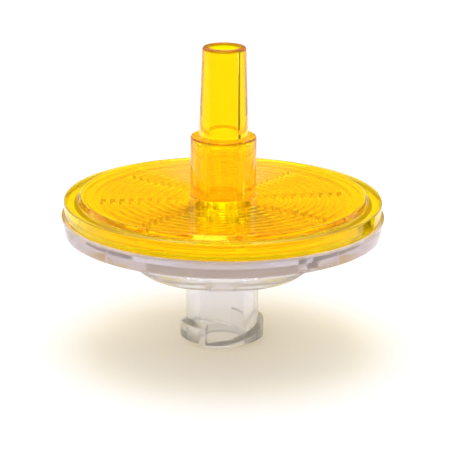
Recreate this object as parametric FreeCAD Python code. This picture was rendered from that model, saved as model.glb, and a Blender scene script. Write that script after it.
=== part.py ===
import FreeCAD, Part

import math
import os

# Syringe filter, 29 mm disc. Millimetres, +Z up.
# The origin is the centre of the inlet mouth, which is the face that the filter stands on.
# Azimuths are measured from the front (-Y), turning towards +X.

# Heights of the main planes
boss_bottom = 6.95
rim_bottom = 10.3
weld_plane = 11.9
ring_top = 13.38
plate_top = 13.79
shoulder_top = 19.3
tip_top = 27.5

# Outlet half: male Luer slip tip, collar, plate and stepped ring
luer_taper = 0.06
tip_radius = 1.99
tip_bevel = 0.2
outlet_bore_radius = 1.38
collar_radius = 3.0
shoulder_bevel = 0.2
plate_radius = 13.0
step_run = 0.25
ring_radius = 14.5
edge_bevel = 0.1

# Membrane and its clamped edge
membrane_radius = 12.5
membrane_thickness = 0.15

# Support ribs under the plate: concentric rings cut by radial channels
support_radius = 11.75
support_height = 0.45
outer_gap = 0.7
rib_pitch = 0.85
rib_width = 0.46
rib_count = 9
channel_count = 8
channel_width = 0.9
channel_azimuth = 8.0

# Weld: a tongue on the inlet half in a groove of the outlet half
membrane_margin = 0.1
groove_width = 0.65
groove_depth = 1.3
weld_clearance = 0.04

# Inlet half: rim, dish, boss and tube
rim_radius = 14.7
rim_foot_radius = 14.4
dish_depth = 0.6
boss_radius = 8.05
boss_bevel = 0.3
boss_wall = 1.15
boss_floor = 1.25
tube_radius = 3.35
mouth_chamfer = 0.25

# Female Luer bore and the passage above it
inlet_mouth_radius = 2.14
inlet_bore_depth = 7.5
passage_radius = 1.0

# Luer-lock lugs: two starts, right-hand, flush with the mouth
lug_radius = 3.85
lug_lead = 5.0
lug_starts = 2
lug_azimuth = -27.0
lug_span = 184.0
lug_start_height = 0.4
lug_top_limit = 2.3
lug_flank_drop = 0.35
lug_chamfer = 0.45
lug_root_depth = 0.25

overlap = 1.0  # how far a cutting tool runs past the face that it cuts


def point(radius, height):
    return FreeCAD.Vector(radius, 0, height)


def turned(corners):
    """Turn a closed outline of (radius, height, bevel) corners round the Z axis."""
    points = [point(radius, height) for radius, height, _ in corners]
    outline = []
    for index, (_, _, bevel) in enumerate(corners):
        corner = points[index]
        if bevel:
            before = points[index - 1] - corner
            after = points[(index + 1) % len(points)] - corner
            outline.append(corner + before.normalize() * bevel)
            outline.append(corner + after.normalize() * bevel)
        else:
            outline.append(corner)
    face = Part.Face(Part.makePolygon(outline + outline[:1]))
    return face.revolve(FreeCAD.Vector(), FreeCAD.Vector(0, 0, 1), 360)


def ring(inner_radius, outer_radius, bottom, top):
    height = top - bottom
    outside = Part.makeCylinder(outer_radius, height, FreeCAD.Vector(0, 0, bottom))
    inside = Part.makeCylinder(inner_radius, height, FreeCAD.Vector(0, 0, bottom))
    return outside.cut(inside)


def turn_to(shape, azimuth):
    """Swing a shape built on +X so that it lies at an azimuth from the front."""
    shape.rotate(FreeCAD.Vector(), FreeCAD.Vector(0, 0, 1), azimuth - 90)
    return shape


def support_ribs():
    """Concentric ribs, interrupted by the radial channels that lead to the bore."""
    foot = weld_plane + membrane_thickness
    ceiling = foot + support_height
    rings = []
    for index in range(rib_count):
        outer_radius = support_radius - outer_gap - index * rib_pitch
        rings.append(ring(outer_radius - rib_width, outer_radius, foot, ceiling))
    channels = []
    for index in range(channel_count):
        corner = FreeCAD.Vector(0, -channel_width / 2, foot - overlap)
        channel = Part.makeBox(support_radius, channel_width, support_height + overlap, corner)
        channels.append(turn_to(channel, channel_azimuth + index * 360 / channel_count))
    return Part.makeCompound(rings).cut(Part.makeCompound(channels))


def outlet_housing():
    tip_foot_radius = tip_radius + luer_taper / 2 * (tip_top - shoulder_top)
    clamp_face = weld_plane + membrane_thickness
    ceiling = clamp_face + support_height
    groove_top = weld_plane + groove_depth
    groove_inner_radius = membrane_radius + membrane_margin
    groove_outer_radius = groove_inner_radius + groove_width
    body = turned([
        (outlet_bore_radius, ceiling, 0),
        (outlet_bore_radius, tip_top, 0),
        (tip_radius, tip_top, tip_bevel),
        (tip_foot_radius, shoulder_top, 0),
        (collar_radius, shoulder_top, shoulder_bevel),
        (collar_radius, plate_top, 0),
        (plate_radius, plate_top, edge_bevel),
        (plate_radius + step_run, ring_top, 0),
        (ring_radius, ring_top, edge_bevel),
        (ring_radius, weld_plane, 0),
        (groove_outer_radius, weld_plane, 0),
        (groove_outer_radius, groove_top, 0),
        (groove_inner_radius, groove_top, 0),
        (groove_inner_radius, clamp_face, 0),
        (support_radius, clamp_face, 0),
        (support_radius, ceiling, 0),
    ])
    return body.fuse(support_ribs()).removeSplitter()


def membrane():
    return Part.makeCylinder(membrane_radius, membrane_thickness, FreeCAD.Vector(0, 0, weld_plane))


def lug_collar():
    """Collar round the mouth whose top is a helical ramp for each start, ending in a step."""
    rise = lug_lead * lug_span / 360
    spine = Part.makeHelix(lug_lead, rise, tube_radius)
    root = (inlet_mouth_radius + tube_radius) / 2
    inner = root - lug_root_depth
    outer = lug_radius + lug_root_depth
    slope = lug_flank_drop / (lug_radius - tube_radius)
    inner_top = lug_start_height + slope * (tube_radius - inner)
    outer_top = lug_start_height - slope * (outer - tube_radius)
    deep = -rise - overlap
    corners = [point(inner, deep), point(outer, deep), point(outer, outer_top), point(inner, inner_top)]
    section = Part.makePolygon(corners + corners[:1])
    ramp = Part.Wire(spine).makePipeShell([section], True, True)
    blank = turned([
        (root, 0, 0),
        (tube_radius - mouth_chamfer, 0, 0),
        (lug_radius, lug_chamfer, 0),
        (lug_radius, lug_top_limit - lug_flank_drop, 0),
        (tube_radius, lug_top_limit, 0),
        (root, lug_top_limit, 0),
    ])
    lugs = []
    for index in range(lug_starts):
        lug = turn_to(ramp.copy(), lug_azimuth + index * 360 / lug_starts)
        lugs.append(blank.common(lug))
    return lugs


def inlet_housing():
    dish_floor = weld_plane - dish_depth
    well_floor = boss_bottom + boss_floor
    well_radius = boss_radius - boss_wall
    bore_top_radius = inlet_mouth_radius - luer_taper / 2 * inlet_bore_depth
    tongue_inner = membrane_radius + membrane_margin + weld_clearance
    tongue_outer = tongue_inner + groove_width - 2 * weld_clearance
    tongue_top = weld_plane + groove_depth - weld_clearance
    body = turned([
        (passage_radius, inlet_bore_depth, 0),
        (bore_top_radius, inlet_bore_depth, 0),
        (inlet_mouth_radius, 0, 0),
        (tube_radius - mouth_chamfer, 0, 0),
        (tube_radius, mouth_chamfer, 0),
        (tube_radius, boss_bottom, 0),
        (boss_radius, boss_bottom, boss_bevel),
        (boss_radius, rim_bottom, 0),
        (rim_foot_radius, rim_bottom, 0),
        (rim_radius, weld_plane, 0),
        (tongue_outer, weld_plane, 0),
        (tongue_outer, tongue_top, 0),
        (tongue_inner, tongue_top, 0),
        (tongue_inner, weld_plane, 0),
        (support_radius, weld_plane, 0),
        (support_radius, dish_floor, 0),
        (well_radius, dish_floor, 0),
        (well_radius, well_floor, 0),
        (passage_radius, well_floor, 0),
    ])
    return body.fuse(lug_collar()).removeSplitter()


nodes = {
    "outlet_housing": outlet_housing(),
    "membrane": membrane(),
    "inlet_housing": inlet_housing(),
}

os.makedirs("parts", exist_ok=True)
for name, shape in nodes.items():
    shape.exportStep(f"parts/{name}.step")
    print(name, len(shape.Solids), "solid", round(shape.Volume, 1), "mm3", shape.isValid())
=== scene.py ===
import math

import bmesh
import bpy
from mathutils import Matrix, Vector


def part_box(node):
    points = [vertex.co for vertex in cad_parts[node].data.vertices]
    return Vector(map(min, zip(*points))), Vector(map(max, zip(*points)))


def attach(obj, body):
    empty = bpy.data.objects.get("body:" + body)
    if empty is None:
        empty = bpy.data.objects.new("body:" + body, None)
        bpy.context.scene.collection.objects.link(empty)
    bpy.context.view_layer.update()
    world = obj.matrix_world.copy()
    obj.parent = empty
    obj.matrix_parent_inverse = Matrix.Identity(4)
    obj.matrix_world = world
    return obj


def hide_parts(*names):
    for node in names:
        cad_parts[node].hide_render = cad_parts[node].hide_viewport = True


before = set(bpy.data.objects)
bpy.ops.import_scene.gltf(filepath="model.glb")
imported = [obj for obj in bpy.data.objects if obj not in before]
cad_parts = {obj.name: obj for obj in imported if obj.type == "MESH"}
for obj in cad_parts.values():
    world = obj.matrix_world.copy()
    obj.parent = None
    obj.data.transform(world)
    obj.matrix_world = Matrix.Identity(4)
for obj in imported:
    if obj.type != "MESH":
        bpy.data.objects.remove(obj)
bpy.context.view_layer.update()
scene = bpy.context.scene
scene.view_settings.view_transform = "Standard"

bounces = {  # clear parts behind clear parts need long light paths
    "max_bounces": 24,
    "transmission_bounces": 24,
    "glossy_bounces": 12,
    "transparent_max_bounces": 40,
}
for bounceName, bounceLimit in bounces.items():
    setattr(scene.cycles, bounceName, bounceLimit)


def addNode(tree, kind, **values):
    node = tree.nodes.new(kind)
    for name, value in values.items():
        setattr(node, name, value)
    return node


def newGroup(name, inputs, outputs):
    kind = "NodeSocketFloat"
    group = bpy.data.node_groups.new(name, "ShaderNodeTree")
    for socketName, value in inputs.items():
        socket = group.interface.new_socket(socketName, in_out="INPUT", socket_type=kind)
        socket.default_value = value
    for socketName in outputs:
        group.interface.new_socket(socketName, in_out="OUTPUT", socket_type=kind)
    return group, group.nodes.new("NodeGroupInput"), group.nodes.new("NodeGroupOutput")


def placeGroup(tree, group, **values):
    node = addNode(tree, "ShaderNodeGroup", node_tree=group)
    for name, value in values.items():
        node.inputs[name].default_value = value
    return node


def newMaterial(name):
    material = bpy.data.materials.new(name)
    material.use_nodes = True
    material.node_tree.nodes.clear()
    output = material.node_tree.nodes.new("ShaderNodeOutputMaterial")
    return material, material.node_tree, output


def dress(nodeName, material):
    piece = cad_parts[nodeName]
    for slot in piece.material_slots:
        slot.material = material


# Camera

camera = {
    "target": (0, 0, 0.0119),
    "distance": 0.225,
    "elevation": 16.5,
    "roll": 0.52,
    "lens": 197.2,
    "sensorWidth": 36,
    "nearAndFar": (0.01, 20),
    "shiftX": 0.0047,
    "shiftY": -0.0252,
}


def makeCamera():
    data = bpy.data.cameras.new("camera")
    data.lens = camera["lens"]
    data.sensor_width = camera["sensorWidth"]
    data.shift_x = camera["shiftX"]
    data.shift_y = camera["shiftY"]
    data.clip_start, data.clip_end = camera["nearAndFar"]
    eye = bpy.data.objects.new("camera", data)
    scene.collection.objects.link(eye)
    tilt = math.radians(camera["elevation"])
    back = Vector((0, -math.cos(tilt), math.sin(tilt)))
    turn = (-back).to_track_quat("-Z", "Y").to_matrix().to_4x4()
    spin = Matrix.Rotation(math.radians(camera["roll"]), 4, "Z")
    place = Matrix.Translation(Vector(camera["target"]) + back * camera["distance"])
    eye.matrix_world = place @ turn @ spin
    scene.camera = eye


makeCamera()
print("camera placed")

# Floor, light and surroundings

# Azimuths are in degrees from straight behind the filter, turning to the right

studio = {
    "floorSize": 3.0,
    "floorColor": (0.95, 0.95, 0.985),
    "warmCards": [(0, 16.5, 0.16), (34, 4, 0.36), (-34, 4, 0.36)],  # azimuth, elevation, reach
    "cardSoftness": 0.4,
    "cardColor": (0.8, 0.55, 0.04),
    "sideCards": [(90, 32), (-95, 27)],  # azimuth and half width of the dimmer sides
    "sideLevel": 0.45,
    "sideSoftness": 0.15,
    "sideTop": (0.55, 0.8),
    "flagPlace": 0.0405,  # a low dark card, seen only through the plastic
    "flagAzimuths": (58, 77),
    "flagHeight": 0.0095,
    "flagColor": (0.06, 0.015, 0.005),
    "lampAim": (0, 0, 0.01),
}

lamps = {
    "overheadLight": {
        "size": (0.25, 0.4),
        "power": 0.92,
        "place": (-0.02, 0.14, 0.5),
        "fills": True,
    },
    "frontLight": {  # highlights only
        "size": (0.26, 0.08),
        "power": 1.0,
        "place": (-0.04, -0.35, 0.37),
        "fills": False,
    },
    "sideLight": {
        "size": (0.03, 0.14),
        "power": 0.12,
        "place": (0.3, -0.08, 0.03),
        "fills": False,
    },
}


def stageSheet(name, points, color):
    mesh = bpy.data.meshes.new(name)
    mesh.from_pydata(points, [], [(0, 1, 2, 3)])
    sheet = bpy.data.objects.new(name, mesh)
    scene.collection.objects.link(sheet)
    material, tree, output = newMaterial(name)
    cloth = addNode(tree, "ShaderNodeBsdfDiffuse")
    cloth.inputs["Color"].default_value = (*color, 1)
    tree.links.new(cloth.outputs[0], output.inputs["Surface"])
    mesh.materials.append(material)
    return sheet


def makeFloor():
    half = studio["floorSize"] / 2
    corners = [(-half, -half, 0), (half, -half, 0), (half, half, 0), (-half, half, 0)]
    stageSheet("floor", corners, studio["floorColor"])


def makeFlag():
    ends = []
    for azimuth in studio["flagAzimuths"]:
        angle = math.radians(azimuth)
        ends.append((studio["flagPlace"] * math.sin(angle), studio["flagPlace"] * math.cos(angle)))
    low = [(x, y, 0) for x, y in ends]
    high = [(x, y, studio["flagHeight"]) for x, y in reversed(ends)]
    flag = stageSheet("flag", low + high, studio["flagColor"])
    flag.visible_camera = False
    flag.visible_shadow = False
    flag.visible_diffuse = False


def warmCard(tree, direction, behind, azimuth, elevation, reach):
    turn, tilt = math.radians(azimuth), math.radians(elevation)
    level = math.cos(tilt)
    away = addNode(tree, "ShaderNodeVectorMath", operation="DISTANCE")
    away.inputs[1].default_value = (math.sin(turn) * level, math.cos(turn) * level, math.sin(tilt))
    edge = addNode(tree, "ShaderNodeMapRange", interpolation_type="SMOOTHSTEP")
    edge.inputs["From Min"].default_value = reach * (1 - studio["cardSoftness"])
    edge.inputs["From Max"].default_value = reach
    card = addNode(tree, "ShaderNodeMix", data_type="RGBA")
    card.inputs["A"].default_value = (*studio["cardColor"], 1)
    card.inputs["B"].default_value = (1, 1, 1, 1)
    tree.links.new(direction, away.inputs[0])
    tree.links.new(away.outputs["Value"], edge.inputs["Value"])
    tree.links.new(edge.outputs["Result"], card.inputs["Factor"])
    if behind:
        tree.links.new(behind, card.inputs["B"])
    return card.outputs["Result"]


def sideCard(tree, heading, behind, azimuth, width):
    angle = math.radians(azimuth)
    core = width * (1 - studio["sideSoftness"])
    aside = addNode(tree, "ShaderNodeVectorMath", operation="DOT_PRODUCT")
    aside.inputs[1].default_value = (math.sin(angle), math.cos(angle), 0)
    strip = addNode(tree, "ShaderNodeMapRange", interpolation_type="SMOOTHSTEP")
    strip.inputs["From Min"].default_value = math.cos(math.radians(width))
    strip.inputs["From Max"].default_value = math.cos(math.radians(core))
    strip.inputs["To Min"].default_value = 1.0
    strip.inputs["To Max"].default_value = studio["sideLevel"]
    both = addNode(tree, "ShaderNodeMath", operation="MULTIPLY")
    both.inputs[0].default_value = 1.0
    tree.links.new(heading, aside.inputs[0])
    tree.links.new(aside.outputs["Value"], strip.inputs["Value"])
    tree.links.new(strip.outputs["Result"], both.inputs[1])
    if behind:
        tree.links.new(behind, both.inputs[0])
    return both.outputs[0]


def makeWorld():
    world = bpy.data.worlds.new("surroundings")
    world.use_nodes = True
    scene.world = world
    tree = world.node_tree
    tree.nodes.clear()
    output = addNode(tree, "ShaderNodeOutputWorld")
    backdrop = addNode(tree, "ShaderNodeBackground")  # what the camera itself sees: plain white
    backdrop.inputs["Color"].default_value = (1, 1, 1, 1)
    room = addNode(tree, "ShaderNodeBackground")
    direction = addNode(tree, "ShaderNodeTexCoord").outputs["Generated"]
    color = None
    for azimuth, elevation, reach in studio["warmCards"]:
        color = warmCard(tree, direction, color, azimuth, elevation, reach)
    tree.links.new(color, room.inputs["Color"])
    flat = addNode(tree, "ShaderNodeVectorMath", operation="MULTIPLY")
    flat.inputs[1].default_value = (1, 1, 0)
    heading = addNode(tree, "ShaderNodeVectorMath", operation="NORMALIZE")
    tree.links.new(direction, flat.inputs[0])
    tree.links.new(flat.outputs["Vector"], heading.inputs[0])
    strength = None
    for azimuth, width in studio["sideCards"]:
        strength = sideCard(tree, heading.outputs["Vector"], strength, azimuth, width)
    height = addNode(tree, "ShaderNodeSeparateXYZ")
    high = addNode(tree, "ShaderNodeMapRange", interpolation_type="SMOOTHSTEP")
    high.inputs["From Min"].default_value, high.inputs["From Max"].default_value = studio["sideTop"]
    fade = addNode(tree, "ShaderNodeMix")
    fade.inputs["B"].default_value = 1.0
    tree.links.new(direction, height.inputs[0])
    tree.links.new(height.outputs["Z"], high.inputs["Value"])
    tree.links.new(high.outputs["Result"], fade.inputs["Factor"])
    tree.links.new(strength, fade.inputs["A"])
    tree.links.new(fade.outputs["Result"], room.inputs["Strength"])
    path = addNode(tree, "ShaderNodeLightPath")
    choice = addNode(tree, "ShaderNodeMixShader")
    tree.links.new(path.outputs["Is Camera Ray"], choice.inputs["Fac"])
    tree.links.new(room.outputs[0], choice.inputs[1])
    tree.links.new(backdrop.outputs[0], choice.inputs[2])
    tree.links.new(choice.outputs[0], output.inputs["Surface"])


def makeLamp(name, look):
    data = bpy.data.lights.new(name, "AREA")
    data.shape = "RECTANGLE"
    data.size, data.size_y = look["size"]
    data.energy = look["power"]
    lamp = bpy.data.objects.new(name, data)
    scene.collection.objects.link(lamp)
    lamp.location = look["place"]
    lamp.visible_diffuse = look["fills"]
    aim = Vector(studio["lampAim"]) - Vector(look["place"])
    lamp.rotation_euler = aim.to_track_quat("-Z", "Y").to_euler()


makeFloor()
makeFlag()
makeWorld()
for lampName, lampLook in lamps.items():
    makeLamp(lampName, lampLook)
print("studio lit")

# Moulded plastic: faint flow marks and a roughness that wanders a little

mouldedFinish, groupIn, groupOut = newGroup(
    "mouldedFinish",
    {"Scale": 400.0, "Detail": 3.0, "Base Roughness": 0.03, "Roughness Spread": 0.02},
    ["Roughness", "Height"],
)
place = addNode(mouldedFinish, "ShaderNodeTexCoord")
flow = addNode(mouldedFinish, "ShaderNodeTexNoise")
spread = addNode(mouldedFinish, "ShaderNodeMath", operation="MULTIPLY_ADD")
mouldedFinish.links.new(place.outputs["Object"], flow.inputs["Vector"])
mouldedFinish.links.new(groupIn.outputs["Scale"], flow.inputs["Scale"])
mouldedFinish.links.new(groupIn.outputs["Detail"], flow.inputs["Detail"])
mouldedFinish.links.new(flow.outputs["Fac"], spread.inputs[0])
mouldedFinish.links.new(groupIn.outputs["Roughness Spread"], spread.inputs[1])
mouldedFinish.links.new(groupIn.outputs["Base Roughness"], spread.inputs[2])
mouldedFinish.links.new(spread.outputs[0], groupOut.inputs["Roughness"])
mouldedFinish.links.new(flow.outputs["Fac"], groupOut.inputs["Height"])

# Mask of what lies between two radii and two heights of a turned piece, in metres

bandMask, groupIn, groupOut = newGroup(
    "bandMask",
    {"Inner": -1.0, "Outer": 1.0, "Bottom": -1.0, "Top": 1.0, "Softness": 0.0001},
    ["Mask"],
)
place = addNode(bandMask, "ShaderNodeTexCoord")
split = addNode(bandMask, "ShaderNodeSeparateXYZ")
flat = addNode(bandMask, "ShaderNodeVectorMath", operation="MULTIPLY")
flat.inputs[1].default_value = (1, 1, 0)
radius = addNode(bandMask, "ShaderNodeVectorMath", operation="LENGTH")
bandMask.links.new(place.outputs["Object"], split.inputs[0])
bandMask.links.new(place.outputs["Object"], flat.inputs[0])
bandMask.links.new(flat.outputs["Vector"], radius.inputs[0])
distance, level = radius.outputs["Value"], split.outputs["Z"]
inner, outer, bottom, top = (groupIn.outputs[name] for name in ("Inner", "Outer", "Bottom", "Top"))
mask = None
for larger, smaller in ((distance, inner), (outer, distance), (level, bottom), (top, level)):
    gap = addNode(bandMask, "ShaderNodeMath", operation="SUBTRACT")
    bandMask.links.new(larger, gap.inputs[0])
    bandMask.links.new(smaller, gap.inputs[1])
    reach = addNode(bandMask, "ShaderNodeMath", operation="DIVIDE", use_clamp=True)
    bandMask.links.new(gap.outputs[0], reach.inputs[0])
    bandMask.links.new(groupIn.outputs["Softness"], reach.inputs[1])
    if mask:
        both = addNode(bandMask, "ShaderNodeMath", operation="MULTIPLY")
        bandMask.links.new(mask, both.inputs[0])
        bandMask.links.new(reach.outputs[0], both.inputs[1])
        mask = both.outputs[0]
    else:
        mask = reach.outputs[0]
bandMask.links.new(mask, groupOut.inputs["Mask"])


def passLight(tree, surface, color, output):  # the part lets light through to its shadow
    ray = addNode(tree, "ShaderNodeLightPath")
    shade = addNode(tree, "ShaderNodeBsdfTransparent")
    shade.inputs["Color"].default_value = (*color, 1)
    both = addNode(tree, "ShaderNodeMixShader")
    tree.links.new(ray.outputs["Is Shadow Ray"], both.inputs["Fac"])
    tree.links.new(surface.outputs[0], both.inputs[1])
    tree.links.new(shade.outputs[0], both.inputs[2])
    tree.links.new(both.outputs[0], output.inputs["Surface"])


def clearPlastic(name, look):
    material, tree, output = newMaterial(name)
    finish = placeGroup(tree, mouldedFinish, **look["finish"])
    bump = addNode(tree, "ShaderNodeBump")
    bump.inputs["Strength"].default_value = look["bump"]
    bump.inputs["Distance"].default_value = look["bumpDepth"]
    plastic = addNode(tree, "ShaderNodeBsdfPrincipled")
    color = None
    # each band paints a tone into the base colour between its radii and heights; the looks say
    # which tones are painted shade and light
    for tone, limits in look["tintAndPaintedLightBands"]:
        band = placeGroup(tree, bandMask, **limits)
        blend = addNode(tree, "ShaderNodeMix", data_type="RGBA")
        blend.inputs["A"].default_value = (*look["color"], 1)
        blend.inputs["B"].default_value = (*tone, 1)
        tree.links.new(band.outputs["Mask"], blend.inputs["Factor"])
        if color:
            tree.links.new(color, blend.inputs["A"])
        color = blend.outputs["Result"]
    tree.links.new(color, plastic.inputs["Base Color"])
    plastic.inputs["IOR"].default_value = look["ior"]
    plastic.inputs["Specular Tint"].default_value = (*look["specularTint"], 1)
    plastic.inputs["Transmission Weight"].default_value = look["clarity"]
    tree.links.new(finish.outputs["Roughness"], plastic.inputs["Roughness"])
    tree.links.new(finish.outputs["Height"], bump.inputs["Height"])
    tree.links.new(bump.outputs["Normal"], plastic.inputs["Normal"])
    passLight(tree, plastic, look["shadowColor"], output)
    tint = addNode(tree, "ShaderNodeVolumeAbsorption")
    tint.inputs["Color"].default_value = (*look["tint"], 1)
    tint.inputs["Density"].default_value = look["density"]
    tree.links.new(tint.outputs[0], output.inputs["Volume"])
    return material


yellowLook = {
    "color": (1.0, 0.86, 0.02),
    "tintAndPaintedLightBands": [  # painted light and shade, in order: a dark mouth of the tip, a dark shoulder, darker feet of the ribs, a deeper tip and a paler collar
        # painted shade: a dark brown rim round the mouth of the tip
        ((0.3, 0.12, 0.01), {"Bottom": 0.02718, "Softness": 0.00017}),
        # painted shade: a dark brown line round the edge of the shoulder
        ((0.3, 0.12, 0.01), {"Inner": 0.0028, "Bottom": 0.01905, "Top": 0.0193}),
        # painted shade: the feet of the ribs, where they touch the membrane, in a deeper orange
        ((1.0, 0.7, 0.02), {"Outer": 0.0117, "Top": 0.0121, "Softness": 0.00003}),
        # painted shade on the tip and painted light on the collar: one plastic, the tip a little
        # deeper and the collar paler
        ((1.0, 0.82, 0.02), {"Inner": 0.0018, "Outer": 0.0026, "Bottom": 0.0194, "Top": 0.0271}),
        ((1.0, 1.0, 0.03), {"Inner": 0.0026, "Outer": 0.0031, "Bottom": 0.014, "Top": 0.0191}),
    ],
    "clarity": 0.95,
    "ior": 1.5,
    "specularTint": (1.0, 0.88, 0.06),
    "tint": (0.9996, 0.9952, 0.0),
    "density": 8000.0,
    "bump": 0.15,
    "bumpDepth": 0.00002,
    "shadowColor": (0.99, 0.87, 0.7),
    "finish": {"Scale": 500.0, "Base Roughness": 0.02, "Roughness Spread": 0.02},
}

perMetre = 1000  # millimetres

outletShape = {
    "steps": 240,
    "filletSteps": 6,
    "profile": [  # radius, height and rounding in millimetres, from the bore round to the ribs
        (1.38, 12.5, 0),
        (1.38, 27.5, 0.1),
        (1.99, 27.5, 0.22),
        (2.236, 19.3, 0.12),
        (3.0, 19.3, 0.2),
        (3.0, 13.79, 0.08),
        (13.0, 13.79, 0.12),
        (13.25, 13.38, 0.06),
        (14.5, 13.38, 0.12),
        (14.42, 11.88, 0),
        (13.5, 11.88, 0),
        (13.25, 11.88, 0),
        (13.25, 13.2, 0),
        (12.6, 13.2, 0),
        (12.6, 12.05, 0),
        (11.75, 12.05, 0),
        (11.75, 12.5, 0),
    ],
    "paintedShadeStrip": (13.25, 13.5, 11.88),  # inner radius, outer radius and height of the strip of the ring's underside painted dark as shade
    "shadeStripTolerance": 0.001,
    "ribFoot": 12.05,
    "ribOutside": 11.05,
    "ribPitch": 0.85,
    "ribWidth": 0.46,
    "ribCount": 9,
    "ribStep": 0.3,
    "ribMinSteps": 4,
    "ribEndSteps": 8,
    "channels": 8,
    "channelWidth": 0.9,
    "channelAzimuth": 8.0,
    "sharpAngle": 35,
}

crescentShadeLook = {  # painted shade: a dark brown sheet on the ring's underside, for the dark crescents of shade seen through the ring
    "color": (0.2, 0.03, 0.005),
    "patchColor": (0.35, 0.07, 0.01),
    "finish": {"Scale": 900.0, "Base Roughness": 0.5, "Roughness Spread": 0.2},
}


# The dark matte material of the painted shade strip
def crescentShadeMaterial():
    material, tree, output = newMaterial("paintedCrescentShade")
    finish = placeGroup(tree, mouldedFinish, **crescentShadeLook["finish"])
    tone = addNode(tree, "ShaderNodeMix", data_type="RGBA")
    tone.inputs["A"].default_value = (*crescentShadeLook["color"], 1)
    tone.inputs["B"].default_value = (*crescentShadeLook["patchColor"], 1)
    bead = addNode(tree, "ShaderNodeBsdfPrincipled")
    tree.links.new(finish.outputs["Height"], tone.inputs["Factor"])
    tree.links.new(tone.outputs["Result"], bead.inputs["Base Color"])
    tree.links.new(finish.outputs["Roughness"], bead.inputs["Roughness"])
    tree.links.new(bead.outputs[0], output.inputs["Surface"])
    return material


def roundedProfile(corners, steps):
    points = [Vector((radius, height)) for radius, height, _ in corners]
    line = [points[0]]
    for index in range(1, len(points) - 1):
        corner, rounding = points[index], corners[index][2]
        if not rounding:
            line.append(corner)
            continue
        before = (points[index - 1] - corner).normalized()
        after = (points[index + 1] - corner).normalized()
        half = before.angle(after) / 2
        centre = corner + (before + after).normalized() * rounding / math.sin(half)
        start = corner + before * rounding / math.tan(half) - centre
        end = corner + after * rounding / math.tan(half) - centre
        turn = start.angle_signed(end)
        for step in range(steps + 1):
            line.append(centre + Matrix.Rotation(-turn * step / steps, 2) @ start)
    line.append(points[-1])
    return line


def azimuthPoint(radius, azimuth, height):
    return Vector((radius * math.sin(azimuth), -radius * math.cos(azimuth), height)) / perMetre


def latheInto(bm, line, steps):
    rings = []
    for radius, height in line:
        angles = [2 * math.pi * index / steps for index in range(steps)]
        rings.append([bm.verts.new(azimuthPoint(radius, angle, height)) for angle in angles])
    for lower, upper in zip(rings, rings[1:]):
        for index in range(steps):
            after = (index + 1) % steps
            bm.faces.new((lower[index], lower[after], upper[after], upper[index]))
    return rings[0], rings[-1]


def ribInto(bm, look, middle, start, end, ceiling):
    half = look["ribWidth"] / 2
    count = max(look["ribMinSteps"], round((end - start) * middle / look["ribStep"]))
    caps = look["ribEndSteps"]
    sides = []  # angle and half width from one end of the rib to the other
    for step in range(caps):
        swing = math.pi / 2 * (step + 1) / caps
        sides.append((start - half * math.cos(swing) / middle, half * math.sin(swing)))
    for step in range(1, count):
        sides.append((start + (end - start) * step / count, half))
    for step in range(caps):
        swing = math.pi / 2 * (caps - step) / caps
        sides.append((end + half * math.cos(swing) / middle, half * math.sin(swing)))
    outer = [(angle, middle + across) for angle, across in sides]
    inner = [(angle, middle - across) for angle, across in sides]
    nose = (start - half / middle, middle)
    tail = (end + half / middle, middle)
    outline = [nose] + outer + [tail] + inner[::-1]
    top = [bm.verts.new(azimuthPoint(radius, angle, ceiling)) for angle, radius in outline]
    low = [bm.verts.new(azimuthPoint(radius, angle, look["ribFoot"])) for angle, radius in outline]
    total = len(outline)
    pairs = len(sides)
    edges = []
    for index in range(total):
        after = (index + 1) % total
        bm.faces.new((top[index], top[after], low[after], low[index]))
        edges.append(bm.edges.get((top[index], top[after])))
    bm.faces.new((low[0], low[1], low[total - 1]))
    for index in range(1, pairs):
        left, right = total - index - 1, total - index
        bm.faces.new((low[index], low[index + 1], low[left], low[right]))
    bm.faces.new((low[pairs], low[pairs + 1], low[pairs + 2]))
    return edges


def makeOutlet():
    look = outletShape
    bm = bmesh.new()
    line = roundedProfile(look["profile"], look["filletSteps"])
    first, last = latheInto(bm, line, look["steps"])
    edges = []
    for loop in (first, last):
        for index, vert in enumerate(loop):
            edges.append(bm.edges.get((vert, loop[(index + 1) % len(loop)])))
    ceiling = look["profile"][0][1]
    sector = 2 * math.pi / look["channels"]
    for ringIndex in range(look["ribCount"]):
        middle = look["ribOutside"] - look["ribWidth"] / 2 - ringIndex * look["ribPitch"]
        clear = math.asin((look["channelWidth"] + look["ribWidth"]) / 2 / middle)
        for channel in range(look["channels"]):
            start = math.radians(look["channelAzimuth"]) + channel * sector
            end = start + sector
            edges += ribInto(bm, look, middle, start + clear, end - clear, ceiling)
    bmesh.ops.triangle_fill(bm, use_beauty=True, use_dissolve=False, edges=edges)
    bmesh.ops.recalc_face_normals(bm, faces=bm.faces)
    openEdges = [edge for edge in bm.edges if len(edge.link_faces) != 2]
    print("outlet housing faces", len(bm.faces), "open edges", len(openEdges))
    mesh = bpy.data.meshes.new("outletBody")
    bm.to_mesh(mesh)
    bm.free()
    for face in mesh.polygons:
        face.use_smooth = True
    mesh.set_sharp_from_angle(angle=math.radians(look["sharpAngle"]))
    mesh.materials.append(clearPlastic("yellowPlastic", yellowLook))
    # second material: painted shade on a strip of the ring's underside next to the step
    mesh.materials.append(crescentShadeMaterial())
    inner, outer, height = look["paintedShadeStrip"]
    for face in mesh.polygons:
        middle = face.center * perMetre
        level = abs(middle.z - height) < look["shadeStripTolerance"]
        if level and inner < middle.xy.length < outer:
            face.material_index = 1
    body = bpy.data.objects.new("outletBody", mesh)
    scene.collection.objects.link(body)
    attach(body, "root")
    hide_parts("outlet_housing")


makeOutlet()
print("outlet housing made")

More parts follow.
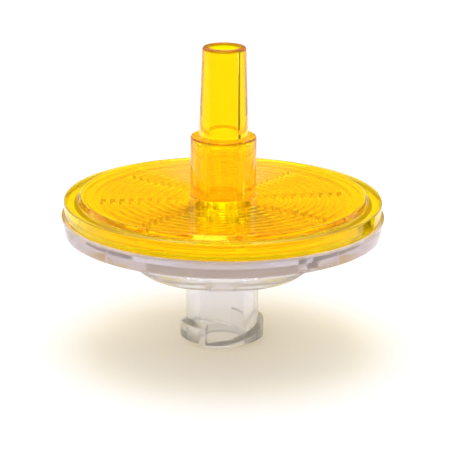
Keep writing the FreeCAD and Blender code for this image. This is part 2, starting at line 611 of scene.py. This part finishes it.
clearLook = {
    "color": (0.95, 0.955, 1.0),
    "tintAndPaintedLightBands": [((0.68, 0.59, 0.64), {"Inner": 0.014, "Softness": 0.0002})],  # side of the rim in a darker violet-grey: partly the thick rim's own tint, partly painted shade
    "clarity": 0.8,
    "ior": 1.5,
    "specularTint": (1.0, 1.0, 1.0),
    "tint": (0.99, 0.985, 0.985),
    "density": 300.0,
    "bump": 0.15,
    "bumpDepth": 0.00002,
    "shadowColor": (0.97, 0.97, 0.98),
    "finish": {"Scale": 500.0, "Base Roughness": 0.02, "Roughness Spread": 0.02},
}
dress("inlet_housing", clearPlastic("clearPlastic", clearLook))
print("inlet housing dressed")

# The membrane is a fibrous sheet, a hair smaller than its clamp so that no two faces share a plane

membraneLook = {
    "radius": 0.0125,
    "steps": 96,
    "inset": 0.00001,
    "color": (0.92, 0.84, 0.82),
    "fibreColor": (0.84, 0.74, 0.7),
    "fibreScale": 2500.0,
    "fibreDetail": 4.0,
    "fibreTwist": 0.8,
    "fibreStrength": 0.3,
    "fibreDepth": 0.00003,
    "roughness": 0.8,
    "passing": (0.5, 0.49, 0.5),
}


def membraneMaterial():
    material, tree, output = newMaterial("membranePaper")
    paper = addNode(tree, "ShaderNodeBsdfPrincipled")
    place = addNode(tree, "ShaderNodeTexCoord")
    fibres = addNode(tree, "ShaderNodeTexNoise")
    fibres.inputs["Scale"].default_value = membraneLook["fibreScale"]
    fibres.inputs["Detail"].default_value = membraneLook["fibreDetail"]
    fibres.inputs["Distortion"].default_value = membraneLook["fibreTwist"]
    tone = addNode(tree, "ShaderNodeMix", data_type="RGBA")
    tone.inputs["A"].default_value = (*membraneLook["color"], 1)
    tone.inputs["B"].default_value = (*membraneLook["fibreColor"], 1)
    nap = addNode(tree, "ShaderNodeBump")
    nap.inputs["Strength"].default_value = membraneLook["fibreStrength"]
    nap.inputs["Distance"].default_value = membraneLook["fibreDepth"]
    tree.links.new(place.outputs["Object"], fibres.inputs["Vector"])
    tree.links.new(fibres.outputs["Fac"], tone.inputs["Factor"])
    tree.links.new(tone.outputs["Result"], paper.inputs["Base Color"])
    tree.links.new(fibres.outputs["Fac"], nap.inputs["Height"])
    tree.links.new(nap.outputs["Normal"], paper.inputs["Normal"])
    paper.inputs["Roughness"].default_value = membraneLook["roughness"]
    passLight(tree, paper, membraneLook["passing"], output)
    return material


def makeMembrane():
    low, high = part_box("membrane")
    count = membraneLook["steps"]
    inset = membraneLook["inset"]
    rings = []
    for radius, height in (
        (0, low[2] + inset),
        (membraneLook["radius"] - inset, low[2] + inset),
        (membraneLook["radius"] - inset, high[2] - inset),
        (0, high[2] - inset),
    ):
        if radius:
            angles = [2 * math.pi * index / count for index in range(count)]
            rings.append([(radius * math.cos(a), radius * math.sin(a), height) for a in angles])
        else:
            rings.append([(0, 0, height)])
    points = [place for ring in rings for place in ring]
    faces = []
    for index in range(count):
        after = (index + 1) % count
        faces.append((0, 1 + after, 1 + index))
        faces.append((1 + index, 1 + after, 1 + count + after, 1 + count + index))
        faces.append((1 + 2 * count, 1 + count + index, 1 + count + after))
    mesh = bpy.data.meshes.new("membraneSheet")
    mesh.from_pydata(points, [], faces)
    mesh.materials.append(membraneMaterial())
    sheet = bpy.data.objects.new("membraneSheet", mesh)
    scene.collection.objects.link(sheet)
    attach(sheet, "root")
    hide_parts("membrane")


makeMembrane()
print("membrane made")
